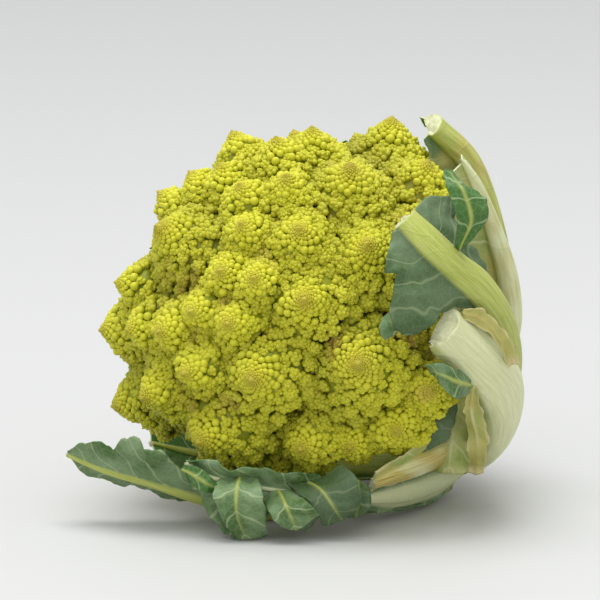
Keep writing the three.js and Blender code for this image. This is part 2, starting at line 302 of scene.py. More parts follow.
def modelLittleFloret(share, first, smallest, widest, dice):
    # a bud wide enough to carry its own spiral, one unit wide
    places, normals, sizes = windBuds(1.0, share, first, smallest, widest)
    seen = places[:, 2] > -0.62
    places, normals, sizes = places[seen], normals[seen], sizes[seen]
    lift = unit(normals + np.array([0, 0, 0.3]))
    turns = turnedTo(lift, dice.uniform(0, 6.28, len(places)))
    places = places - normals * sizes[:, None] * bumps["sunk"]
    places = places + dice.normal(0, bumps["uneven"], places.shape) * sizes[:, None]
    fullness = dice.uniform(bumps["leastFull"], bumps["mostFull"], (len(places), 1))
    swell = sizes[:, None] * fullness * dice.normal(1, bumps["stretched"], places.shape)
    small = copyTo(fineBud, places, turns, swell)
    core, faces = coreBody(1.0, share, 10, 7, 0.1)
    # painted shade: the core is marked darker lower down, and the little floret darker towards its
    # underside
    depth = np.clip(-core[:, 2] * 0.9 + 0.3, 0, 1)
    points, allFaces, creviceShade = joined([small, (core, faces, depth)])
    below = np.clip(-points[:, 2] * 1.25 - 0.2, 0, 1)
    points = points + np.array([0, 0, 0.36])  # the middle of the little floret at its origin
    return points, allFaces, np.clip(np.maximum(creviceShade * 0.85, below * 0.9), 0, 1)


def planeBetween(mine, theirs):
    away = mine["waist"] - theirs["waist"]
    along = unit(mine["axis"] + theirs["axis"])
    normal = unit(away - along * (away @ along))
    share = theirs["width"] / (mine["width"] + theirs["width"])
    return normal, theirs["waist"] + away * share


def growFloret(name, floret, neighbours, seed):
    dice = np.random.default_rng(seed)
    width = floret["width"] * buds["spread"]
    share = np.interp(floret["width"], [26, 46], [buds["share"], buds["broadShare"]])
    places, normals, sizes = windBuds(
        width, share, buds["firstBud"], buds["smallestBud"], buds["widestBud"]
    )
    frameTurn = turnedTo(floret["axis"][None], np.array([dice.uniform(0, 6.28)]))[0]
    shape = np.array([dice.uniform(0.93, 1.07), dice.uniform(0.93, 1.07), 1.0])
    places = places * shape
    world = places @ frameTurn.T + floret["tip"]
    outward = normals @ frameTurn.T
    lumps = softNoise(world, 9, seed % 7) * np.clip(sizes / 4, 0, 1) * 1.6
    unevenness = sizes * np.interp(sizes, [1, 3], [0.04, 0.09])
    world = world + dice.normal(0, 1, world.shape) * unevenness[:, None]
    raised = np.interp(sizes, buds["atWidths"], buds["standsOut"])
    world = world + outward * (lumps + raised * sizes)[:, None]
    sizes = sizes * dice.uniform(0.85, 1.15, len(sizes))
    keep = dice.uniform(0, 1, len(world)) > buds["missing"] * (sizes > 3)
    for other in neighbours:
        normal, point = planeBetween(floret, other)
        keep &= (world - point) @ normal > -0.35 * sizes - 0.4
    keep &= world[:, 2] > 9 + 0.3 * sizes
    world, outward, sizes = world[keep], outward[keep], sizes[keep]
    lift = unit(outward + floret["axis"] * 0.35 + dice.normal(0, 0.12, world.shape))
    turns = turnedTo(lift, dice.uniform(0, 6.28, len(world)))
    swell = sizes * np.interp(sizes, buds["atWidths"], buds["fullness"])
    swell = swell[:, None] * dice.normal(1, 0.06, world.shape)
    parts = []
    fine = sizes < buds["fineBelow"]
    knobbly = sizes >= buds["knobblyFrom"]
    compound = sizes >= buds["compoundFrom"]
    kind = dice.integers(0, 3, len(world))
    groups = [(fineBud, fine), (roundBud, ~fine & ~knobbly)]
    groups += [(knobs[i], knobbly & ~compound & (kind == i)) for i in range(3)]
    groups += [(littleFlorets[i], compound & (kind == i)) for i in range(3)]
    for shapeOf, chosen in groups:
        if chosen.any():
            parts.append(copyTo(shapeOf, world[chosen], turns[chosen], swell[chosen]))
    points, faces, creviceShade = joined(parts)
    core, coreFaces = coreBody(width, share, 32, 24, 0.34)
    core = (core * shape) @ frameTurn.T + floret["tip"]
    for other in neighbours:
        normal, point = planeBetween(floret, other)
        over = (core - point) @ normal - 0.6
        core = core - normal * np.minimum(over, 0)[:, None]
    core[:, 2] = np.maximum(core[:, 2], 10)
    # painted shade: the flesh under the buds is marked darker the further it lies from the tip
    coreShade = np.clip(np.linalg.norm(core - floret["tip"], axis=1) / 6 - 0.2, 0, 1)
    branch, branchFaces = branchOf(floret, width)
    body = (core, coreFaces, coreShade)
    pale = (branch, branchFaces, np.ones(len(branch)))
    points, faces, creviceShade = joined([(points, faces, creviceShade), body, pale])
    flesh = np.concatenate([np.zeros(len(points) - len(branch)), np.ones(len(branch))])
    tipReach = 0.10 * width + 1.2
    tipness = np.exp(-(np.linalg.norm(points - floret["tip"], axis=1) / tipReach) ** 2) * (1 - flesh)
    points[:, 2] = np.maximum(points[:, 2], 8.5)
    print(name, len(faces), "triangles")
    # how far a point lies below its floret's tip, towards the dome's centre: used for painted shade in the
    # valleys between florets, and to place the bruises and the pale branch
    valley = np.clip((floret["reach"] - 5 - np.linalg.norm(points - centre, axis=1)) / 20, 0, 1)
    stain = np.zeros(len(points))
    for middle, radius, amount in bruises:
        gap = np.linalg.norm(points - np.array(middle), axis=1) / radius
        near = gap < 1.6
        if near.any():
            ragged = gap[near] + 0.5 * softNoise(points[near], 3.5, 8)
            stain[near] = np.maximum(stain[near], amount * np.clip(1.9 - 1.7 * ragged, 0, 1))
    attributes = {
        "creviceShade": creviceShade, "tipness": tipness, "flesh": flesh, "valley": valley, "stain": stain,
    }
    return makeMesh(name, points, faces, attributes)


def branchOf(floret, width):
    # the pale branch from the stem up into the floret
    sides, rings = 12, 8
    start = floret["foot"] + floret["axis"] * 12
    end = floret["tip"] - floret["axis"] * 0.55 * width
    turn = turnedTo(floret["axis"][None], np.array([0.0]))[0]
    angles = np.arange(sides) * 2 * math.pi / sides
    points = [start[None]]
    for i in range(rings):
        share = i / (rings - 1)
        radius = width * (0.13 + 0.20 * share**3)
        ring = np.stack([np.cos(angles), np.sin(angles), 0 * angles], axis=1) * radius
        points.append(ring @ turn.T + start + (end - start) * share)
    points.append(end[None])
    faces = []
    for j in range(sides):
        k = (j + 1) % sides
        faces.append((0, 1 + k, 1 + j))
        for i in range(rings - 1):
            a, b = 1 + i * sides + j, 1 + i * sides + k
            faces += [(a, b, b + sides), (a, b + sides, a + sides)]
        last = 1 + (rings - 1) * sides
        faces.append((last + j, last + k, 1 + rings * sides))
    return np.concatenate(points), np.array(faces)


# Stem
stem = {
    "segments": 48,
    # the distance along the head's axis and the radius, from the cut face up into the head
    "rings": [
        (-104, 15.5), (-102.5, 16.8), (-97, 17.3), (-91, 16.9), (-85, 17.8), (-79, 17.2), (-73, 18.1),
        (-66, 17.4), (-60, 18.0), (-50, 16.6), (-40, 15.6), (-20, 14.0), (8, 11.5), (34, 9.0),
    ],
    "scars": 9,  # left where lower leaves were pulled off
}


def modelStem():
    # turned up from its cut face by extruding ring on ring
    start, radius = stem["rings"][0]
    bpy.ops.mesh.primitive_circle_add(
        vertices=stem["segments"], radius=radius * mm, fill_type="NGON", location=(0, 0, start * mm)
    )
    piece = bpy.context.object
    piece.name = "stem"
    bpy.ops.object.transform_apply(location=True, rotation=False, scale=False)
    bpy.ops.object.mode_set(mode="EDIT")
    bpy.ops.mesh.select_all(action="SELECT")
    for (low, before), (high, after) in zip(stem["rings"], stem["rings"][1:]):
        bpy.ops.mesh.extrude_region_move(TRANSFORM_OT_translate={"value": (0, 0, (high - low) * mm)})
        bpy.ops.transform.resize(value=(after / before, after / before, 1))
    bpy.ops.object.mode_set(mode="OBJECT")
    for face in piece.data.polygons:
        face.select = abs(face.normal.z) > 0.9 and face.center.z < (start + 0.5) * mm
    bpy.ops.object.mode_set(mode="EDIT")
    for step in (1.6, 2.4, 3.2, 4.0):
        bpy.ops.mesh.inset(thickness=step * mm, depth=0)
    bpy.ops.mesh.select_all(action="SELECT")
    bpy.ops.mesh.normals_make_consistent(inside=False)
    bpy.ops.object.mode_set(mode="OBJECT")
    finer = piece.modifiers.new("finer", "SUBSURF")
    finer.levels = finer.render_levels = 1
    bpy.ops.object.modifier_apply(modifier=finer.name)

    mesh = piece.data
    points = np.array([v.co for v in mesh.vertices]) / mm
    away = np.linalg.norm(points[:, :2], axis=1)
    face = np.clip((-101.8 - points[:, 2]) / 1.2, 0, 1)
    scars = np.zeros(len(points))
    for i in range(stem["scars"]):
        turn, height = i * goldenAngle, -96 + i * 5.2
        around = np.arctan2(points[:, 1], points[:, 0]) - turn
        around = (around + math.pi) % (2 * math.pi) - math.pi
        gap = np.hypot(around * away / 7.5, (points[:, 2] - height) / 2.6)
        scars = np.maximum(scars, np.clip(1.25 - gap, 0, 1) * (1 - face))
    outwards = points * [1, 1, 0] / np.maximum(away, 0.01)[:, None]
    swelling = 0.9 * softNoise(points, 16, 3) + 0.35 * softNoise(points, 4, 4) + 0.9 * scars
    points += outwards * (swelling * (1 - face))[:, None]
    points[:, 2] += face * 0.35 * softNoise(points, 2.5, 6)
    world = points @ lying.T + centre
    mesh.vertices.foreach_set("co", toFrame(world).astype(np.float32).ravel())
    for key, values in (("cut", face), ("scar", scars), ("across", away / 17)):
        mesh.attributes.new(key, "FLOAT", "POINT").data.foreach_set("value", values.astype(np.float32))
    mesh.update()
    bpy.ops.object.shade_smooth_by_angle(angle=math.radians(50))
    return piece


# Leaves
blades = {
    "thickness": 0.9,
    "rows": 130,
    "stalkColumns": 15,
    "bladeColumns": 15,  # on either side of the stalk
    "veinSpacing": 13.0,
    "quilting": 0.55,  # how far the blade swells between its side veins
    "brokenEnd": 0.55,  # how rough a cut or snapped end is
    "outerBulge": 0.58,  # how far the stalk stands out of the blade, in shares of its thickness
    "innerBulge": 0.36,
    "stalkRibs": 0.22,
}

# Each station of a leaf as [x, y, z, left, right, stalk, thickness]: a point of its midrib, how far the
# blade reaches to either side, half the stalk's width and its thickness. "left" and "right" give a
# torn or lobed edge in more detail, as [distance back from the leaf's end, reach], and "age" how
# yellow it has gone, as [share of the length, amount]. "wave" is how far the blade ruffles, "torn" how
# ragged its edge is, "paintedShade" how far painted shade darkens the blade and "pale" how white the
# stalk, and a "fold" turns that side of the blade up or down from the stalk, in degrees.
leaves = {
    "leaf_cut_stalk": {
        "slot": "stalk", "wave": 2.6, "torn": 0.5, "age": [[0, 0.5], [0.35, 0.25], [0.7, 0.12], [1, 0.1]],
        "stations": [
            [68, 27, 25, 12, 12, 11, 12], [75, 10, 22, 15, 15, 12, 13], [82, -10, 31, 14, 15, 12, 13],
            [85, -31, 47, 15, 16, 13, 14], [82, -52, 62, 15, 16, 13, 14], [73, -68, 75, 13, 13, 11, 13],
            [60, -81, 90, 10, 10, 9, 11],
        ],
        "left": [[0, 9.5], [22, 12], [30, 14], [44, 17], [60, 21], [78, 24], [100, 19], [140, 13]],
        "right": [[0, 10], [6, 13], [14, 16], [26, 17], [38, 20], [52, 19], [70, 17], [100, 16], [140, 13]],
    },
    "leaf_upper_stalk": {
        "slot": "leaf", "paintedShade": 0.42, "wave": 4.2, "torn": 0.22,
        "age": [[0, 0.3], [0.5, 0.15], [0.8, 0.0], [1, 0.0]],
        "stations": [
            [76, 33, 38, 9, 9, 8, 10], [84, 14, 44, 10, 10, 9, 11], [87, -12, 57, 11, 11, 9, 11],
            [86, -38, 75, 11, 11, 8, 11], [82, -56, 90, 13, 13, 8, 10], [74, -68, 104, 20, 20, 8, 9],
            [64, -76, 114, 33, 36, 7, 9], [53, -79, 125, 36, 36, 7, 8], [44, -78, 134, 18, 12, 6, 7],
        ],
        "left": [
            [0, 8], [3, 12], [6, 21], [9, 25], [12, 23], [14, 28], [18, 35], [24, 39], [27, 38], [30, 32],
            [33, 22], [38, 13], [48, 10], [100, 10], [180, 9],
        ],
        "right": [
            [0, 18], [3, 22], [7, 28], [11, 31], [16, 30], [20, 23], [24, 18], [30, 17], [40, 13], [50, 10],
            [100, 10], [180, 9],
        ],
    },
    "leaf_right_stalk": {
        "slot": "stalk", "wave": 1.6, "torn": 0.3, "age": [[0, 0.2], [0.4, 0.4], [0.6, 0.5], [1, 0.1]],
        "foldLeft": 58,
        "left": [[0, 9], [8, 13], [25, 17], [45, 22], [75, 24], [100, 16], [120, 9], [160, 8]],
        "stations": [
            [80, 44, 40, 8, 8, 7, 8], [86, 30, 56, 9, 9, 7, 8], [90, 14, 76, 9, 10, 6.5, 8],
            [88, 4, 98, 9, 12, 6, 7], [82, -6, 120, 9, 14, 5, 5], [75, -15, 138, 8, 13, 3, 3.4],
            [69, -21, 149, 4, 6, 1, 1.5],
        ],
    },
    "leaf_top_back": {
        "slot": "leaf", "wave": 2.4, "torn": 0.45, "age": [[0, 0.2], [0.6, 0.3], [0.8, 0.6], [1, 0.1]],
        "foldLeft": 62,
        "left": [[0, 8], [5, 12], [14, 20], [30, 22], [60, 20], [90, 12], [150, 8]],
        "stations": [
            [82, 54, 52, 8, 8, 7, 8], [88, 46, 78, 9, 10, 7, 8], [83, 32, 112, 9, 14, 7, 8],
            [73, 18, 142, 9, 18, 7, 8], [57, 6, 161, 7, 12, 6, 7],
        ],
    },
    "leaf_back_upper": {
        "slot": "leaf", "wave": 4, "torn": 0.3, "age": [[0, 0.2], [1, 0.0]],
        "stations": [
            [73, 64, 48, 9, 9, 8, 9], [71, 76, 78, 11, 11, 8, 10], [51, 79, 118, 20, 20, 8, 10],
            [30, 73, 134, 26, 24, 5, 6], [14, 66, 139, 14, 12, 2, 3],
        ],
    },
    "leaf_back_mid": {
        "slot": "leaf", "wave": 4.5, "torn": 0.25, "age": [[0, 0.25], [1, 0.05]],
        "stations": [
            [62, 64, 36, 10, 10, 9, 10], [42, 86, 50, 13, 13, 10, 11], [6, 97, 72, 24, 24, 9, 11],
            [-26, 90, 92, 34, 34, 5, 6], [-48, 74, 104, 28, 28, 3, 4], [-58, 62, 110, 12, 13, 1.5, 2],
        ],
    },
    "leaf_back_low": {
        "slot": "leaf", "wave": 3, "torn": 0.25, "age": [[0, 0.3], [1, 0.1]],
        "stations": [
            [57, 46, 12, 9, 9, 8, 9], [42, 58, 7, 12, 12, 9, 10], [14, 62, 5, 20, 20, 8, 9],
            [-20, 58, 6, 28, 26, 4, 5], [-46, 48, 12, 24, 22, 2, 3], [-62, 38, 18, 10, 10, 1, 1.6],
        ],
    },
    "leaf_low_long": {
        "slot": "leaf", "wave": 3.2, "torn": 0.2, "age": [[0, 0.3], [0.5, 0.05], [1, 0.0]],
        "stations": [
            [50, 34, 9, 8, 8, 7, 9], [38, 16, 4, 9, 9, 7, 9], [16, -8, 3.5, 10, 10, 7, 9],
            [-10, -32, 3.5, 12, 14, 6, 8], [-36, -48, 12, 15, 22, 4, 6], [-60, -50, 19, 14, 25, 2.6, 3.6],
            [-80, -46, 24, 10, 18, 1.8, 2.6], [-95, -40, 29, 3, 4, 1.2, 1.8],
        ],
        "right": [
            [0, 2], [4, 8], [9, 14], [15, 17], [19, 15], [21, 13], [24, 22], [29, 27], [36, 28], [41, 25],
            [44, 19], [50, 19], [56, 16], [64, 15], [90, 12], [180, 8],
        ],
        "left": [[0, 2], [5, 7], [14, 10], [20, 9], [24, 13], [40, 14], [60, 13], [90, 12], [180, 8]],
    },
    "leaf_low_front": {
        "slot": "leaf", "pale": 0.8, "wave": 3.4, "torn": 0.18, "foldLeft": -62, "foldRight": 10,
        "age": [[0, 0.3], [0.3, 0.1], [0.5, 0], [1, 0]],
        "stations": [
            [66, 12, 14, 10, 10, 9, 10], [56, -10, 12, 10, 10, 9, 10], [40, -34, 11.5, 9, 9, 7.5, 9],
            [22, -56, 14, 15, 10, 2.4, 4], [1, -66, 18, 20, 11, 1.4, 2.4], [-20, -70, 22, 23, 11, 1.2, 2],
            [-36, -71, 26, 14, 9, 1.2, 2], [-45, -69, 31, 4, 5, 1, 1.6],
        ],
        "left": [
            [0, 3], [5, 7], [10, 9], [12, 14], [17, 20], [22, 24], [33, 25], [35, 19], [37, 10], [39, 9],
            [41, 14], [46, 17], [52, 17], [56, 14], [58, 10], [62, 8], [70, 7], [100, 7.5], [160, 9],
        ],
        "right": [
            [0, 3], [6, 7], [12, 9], [18, 7], [22, 10], [30, 12], [38, 9], [46, 11], [58, 8], [72, 9],
            [84, 8], [100, 8], [160, 9],
        ],
    },
    "leaf_low_mid": {
        "slot": "stalk", "wave": 1.5, "torn": 0.3, "age": [[0, 0.55], [0.4, 0.8], [1, 0.85]],
        "stations": [
            [76, 18, 33, 9, 9, 8, 8], [72, -6, 31, 10, 10, 8, 8], [62, -32, 29, 9, 11, 8, 7],
            [48, -50, 26, 9, 12, 7, 6], [31, -62, 21, 6, 9, 3, 3],
        ],
    },
}


def smoothRun(values, shares):
    # a smooth curve through the stations, at those shares of its length
    padded = np.concatenate([2 * values[:1] - values[1:2], values, 2 * values[-1:] - values[-2:-1]])
    at = np.clip(shares, 0, 1) * (len(values) - 1)
    i = np.minimum(at.astype(int), len(values) - 2)
    t = (at - i)[:, None]
    a, b, c, d = padded[i], padded[i + 1], padded[i + 2], padded[i + 3]
    return 0.5 * (2 * b + (c - a) * t + (2 * a - 5 * b + 4 * c - d) * t**2 + (3 * b - 3 * c + d - a) * t**3)


def skinOf(outer, inner, values, uv):
    # one closed skin from a leaf's outer and inner side, joined round the rim
    rows, columns = outer.shape[:2]
    count = rows * columns
    index = np.arange(count).reshape(rows, columns)
    a, b, c, d = (part.ravel() for part in (index[:-1, :-1], index[1:, :-1], index[1:, 1:], index[:-1, 1:]))
    faces = [np.stack([a, b, c], 1), np.stack([a, c, d], 1)]
    faces += [np.stack([a, c, b], 1) + count, np.stack([a, d, c], 1) + count]
    rims = [(index[:-1, 0], index[1:, 0]), (index[1:, -1], index[:-1, -1])]
    rims += [(index[0, 1:], index[0, :-1]), (index[-1, :-1], index[-1, 1:])]
    for start, end in rims:
        faces += [np.stack([start, start + count, end + count], 1), np.stack([start, end + count, end], 1)]
    faces = np.concatenate(faces)
    points = np.concatenate([outer.reshape(-1, 3), inner.reshape(-1, 3)])
    a, b, c = (points[faces[:, i]] - points.mean(axis=0) for i in range(3))
    if np.sum(a * np.cross(b, c)) < 0:
        faces = faces[:, ::-1]
    attributes = {key: np.tile(value.ravel(), 2) for key, value in values.items()}
    attributes["inside"] = np.repeat([0.0, 1.0], count)
    return points, faces, attributes, np.tile(uv.reshape(-1, 2), (2, 1))


# Lobes and torn scraps that lie over the leaves, as rows of points from the base to the tip
scraps = {
    "leaf_low_front": [
        {
            "age": 0.0, "wave": 1.6, "torn": 0.1,
            "grid": [
                [[-31.5, -70, 25.1], [-25.6, -70, 26.0], [-20.5, -70, 26.4], [-15.5, -70, 25.6]],
                [[-34.8, -81, 21.1], [-28.1, -81, 20.3], [-21.4, -81, 20.3], [-14.2, -81, 22.0]],
                [[-32.3, -82, 12.8], [-26.8, -82, 11.9], [-21.4, -82, 11.5], [-12.1, -82, 12.8]],
                [[-25.6, -77, 2.5], [-23.1, -77, 0.8], [-17.6, -77, 0.8], [-11.3, -77, 2.1]],
            ],
        },
        {
            "age": 0.0, "wave": 1.4, "torn": 0.14,
            "grid": [
                [[-13.0, -72, 15.7], [-9.6, -72, 19.1], [-5.4, -72, 19.5], [-0.4, -72, 19.1]],
                [[-12.1, -84, 13.1], [-7.1, -84, 15.7], [-2.1, -84, 16.5], [3.8, -84, 18.2]],
                [[-9.2, -86, 10.1], [-5.0, -86, 11.3], [0.5, -86, 12.6], [7.2, -86, 15.6]],
                [[-7.1, -84, 8.0], [-2.5, -84, 6.7], [2.1, -84, 7.6], [9.3, -84, 13.1]],
            ],
        },
        {
            "age": 0.0, "paintedShade": 0.6, "wave": 1.4, "torn": 0.05,
            "grid": [
                [[-5.4, -68, 22.2], [1.3, -68, 22.2], [8.9, -68, 23.1], [18.1, -68, 30.3]],
                [[2.1, -79, 19.1], [8.0, -79, 19.1], [14.7, -79, 21.6], [23.6, -79, 28.9]],
                [[8.0, -81, 13.4], [12.2, -81, 13.9], [18.9, -81, 16.0], [25.7, -81, 22.8]],
                [[10.5, -78, 6.9], [15.6, -78, 7.4], [21.5, -78, 10.8], [25.7, -78, 17.2]],
            ],
        },
        {
            "age": 0.1, "paintedShade": 0.4, "wave": 1.2, "torn": 0.08,
            "grid": [
                [[20.2, -66, 19.7], [23.1, -66, 22.7], [26.5, -66, 22.7], [29.0, -66, 20.2]],
                [[18.9, -71, 15.1], [23.1, -71, 16.8], [27.3, -71, 17.6], [30.7, -71, 18.5]],
                [[18.5, -70, 8.9], [22.3, -70, 8.1], [26.5, -70, 8.9], [29.9, -70, 13.2]],
            ],
        },
        {
            "age": 0.0, "wave": 0.6, "torn": 0.06,
            "grid": [
                [[-46.6, -70, 30.3], [-46.6, -70, 28.6], [-45.7, -70, 26.8]],
                [[-41.5, -77, 31.1], [-42.0, -77, 27.2], [-42.0, -77, 22.5]],
                [[-36.1, -79, 28.0], [-36.5, -79, 24.2], [-37.8, -79, 20.8]],
                [[-30.6, -76, 21.5], [-31.0, -76, 20.7], [-32.7, -76, 19.4]],
            ],
        },
        {
            "age": 0.0, "wave": 1.6, "torn": 0.2,
            "grid": [
                [[-38.2, -66, 21.0], [-37.8, -66, 24.4], [-38.2, -66, 27.4]],
                [[-31.5, -67, 20.4], [-31.5, -67, 24.6], [-31.9, -67, 28.5]],
                [[-23.9, -67, 20.4], [-23.9, -67, 24.6], [-23.9, -67, 26.7]],
                [[-14.7, -66, 19.3], [-14.7, -66, 22.7], [-14.7, -66, 24.4]],
                [[-4.6, -64, 17.3], [-4.6, -64, 19.8], [-4.2, -64, 22.4]],
            ],
        },
        {
            "age": 0.0, "paintedShade": 0.5, "wave": 1.6, "torn": 0.12,
            "grid": [
                [[47, -46, 50], [57, -46, 54], [67, -44, 56]],
                [[43, -48, 40], [55, -50, 43], [66, -46, 46]],
                [[40, -50, 30], [52, -52, 32], [62, -48, 36]],
            ],
        },
    ],
    "leaf_low_mid": [
        {
            "age": 0.35, "wave": 1.6, "torn": 0.1,
            "grid": [
                [[56, -30, 52], [66, -34, 55], [76, -30, 53]],
                [[54, -34, 42], [65, -40, 44], [76, -36, 42]],
                [[52, -36, 32], [64, -42, 32], [75, -36, 30]],
                [[52, -34, 22], [63, -38, 21], [74, -32, 20]],
            ],
        },
    ],
    "leaf_cut_stalk": [
        {
            "age": 1.0, "wave": 1.8, "torn": 0.3,
            "grid": [
                [[68.9, -80, 97.3], [67.7, -80, 95.6], [69.3, -80, 93.0]],
                [[76.1, -77, 97.2], [74.4, -77, 92.9], [75.6, -77, 89.1]],
                [[82.4, -72, 90.7], [80.3, -72, 86.9], [80.7, -72, 83.1]],
                [[88.2, -68, 82.4], [85.3, -68, 79.4], [85.3, -68, 75.5]],
                [[92.0, -62, 70.6], [89.1, -62, 71.5], [87.4, -62, 68.5]],
            ],
        },
        {
            "age": 0.75, "wave": 2.0, "torn": 0.25,
            "grid": [
                [[69.8, -72, 63.9], [72.7, -72, 63.9], [75.2, -72, 62.2]],
                [[68.5, -64, 53.5], [71.9, -64, 53.1], [77.3, -64, 50.5]],
                [[70.2, -56, 41.4], [74.4, -56, 40.6], [79.8, -56, 38.9]],
                [[71.0, -47, 30.5], [75.2, -47, 28.8], [79.0, -47, 27.9]],
                [[71.4, -40, 22.0], [74.4, -40, 21.1], [77.3, -40, 22.8]],
            ],
        },
    ],
    "leaf_upper_stalk": [
        {
            "age": 0.05, "wave": 1.6, "torn": 0.12,
            "grid": [
                [[71.0, -74, 67.6], [71.0, -74, 64.7], [70.2, -74, 61.2]],
                [[64.3, -84, 73.7], [65.6, -84, 67.7], [65.1, -84, 60.4]],
                [[58.8, -85, 76.0], [59.3, -85, 71.3], [60.5, -85, 65.3]],
                [[52.5, -80, 74.7], [53.4, -80, 73.4], [55.1, -80, 70.8]],
            ],
        },
        {
            "age": 0.0, "wave": 1.8, "torn": 0.1,
            "grid": [
                [[63.9, -76, 121.3], [66.0, -76, 121.3], [68.5, -76, 122.6]],
                [[65.1, -84, 132.5], [71.0, -84, 134.2], [77.3, -84, 133.4]],
                [[63.0, -85, 142.1], [68.5, -85, 145.0], [78.2, -85, 142.5]],
                [[60.5, -80, 149.3], [64.7, -80, 150.6], [72.3, -80, 146.7]],
                [[59.7, -72, 153.8], [60.9, -72, 154.7], [63.5, -72, 153.0]],
            ],
        },
        {
            "age": 0.0, "wave": 1.0, "torn": 0.1,
            "grid": [
                [[34.9, -87, 94.7], [40.4, -87, 98.1], [48.3, -87, 100.6]],
                [[33.2, -90, 90.1], [39.1, -90, 93.5], [47.5, -90, 97.7]],
                [[35.3, -88, 86.3], [39.9, -88, 89.3], [45.0, -88, 94.8]],
            ],
        },
    ],
}


def growScrap(scrap, seed):
    grid = np.array(scrap["grid"], dtype=float)
    downwards, acrosswards = np.linspace(0, 1, 40), np.linspace(0, 1, 29)
    rows = np.stack([smoothRun(grid[:, i], downwards) for i in range(grid.shape[1])], axis=1)
    length = np.linalg.norm(np.diff(rows.mean(axis=1), axis=0), axis=1).sum()
    width = np.linalg.norm(np.diff(rows, axis=1), axis=2).sum(axis=1).mean()
    rim = np.stack([downwards * length, 0 * downwards, 0 * downwards], 1)
    spread = [1 - scrap["torn"] * np.clip(softNoise(rim, 4, seed + i) + 0.35, 0, 1) for i in (0, 7)]
    across = acrosswards[None] - 0.5
    across = 0.5 + across * np.where(across < 0, spread[0][:, None], spread[1][:, None])
    middle = np.stack([smoothRun(row, at) for row, at in zip(rows, across)])
    along = np.repeat(downwards[:, None] * length, len(acrosswards), axis=1)
    fromVein = np.abs(across - 0.5) * width
    edge = np.clip(np.maximum(2 * np.abs(across - 0.5), (2 * downwards - 1)[:, None]), 0, 1)
    paper = np.stack([along, across * width, 0 * along], axis=2).reshape(-1, 3)
    ruffle = softNoise(paper, 11, seed + 1) + 0.5 * softNoise(paper, 5, seed + 2)
    quilt = 1 - (0.5 + 0.5 * np.cos(2 * math.pi * (along - 0.9 * fromVein) / blades["veinSpacing"])) ** 4
    lift = scrap["wave"] * (0.2 + edge**2) * ruffle.reshape(along.shape) + blades["quilting"] * quilt
    normal = unit(np.cross(np.gradient(middle, axis=0), np.gradient(middle, axis=1)))
    middle = middle + normal * lift[..., None]
    rib = np.exp(-((fromVein / 0.9) ** 2)) * (1 - 0.7 * downwards[:, None])
    half = blades["thickness"] / 2 * (1 - 0.3 * edge) + 0.7 * rib
    outer, inner = middle + normal * half[..., None], middle - normal * half[..., None]
    outer[..., 2], inner[..., 2] = np.maximum(outer[..., 2], 0.6), np.maximum(inner[..., 2], 0.05)
    blotches = softNoise(paper, 9, seed + 4).reshape(along.shape)
    values = {
        "stalk": np.clip(rib * 1.3 - 0.2, 0, 1), "edge": edge,
        "age": np.clip(scrap["age"] * (1 + 0.6 * blotches), 0, 1), "cut": 0 * along,
        "paintedShade": 0 * along + scrap.get("paintedShade", 0), "pale": 0 * along,
    }
    return skinOf(outer, inner, values, np.stack([fromVein, along], axis=2) / 100)


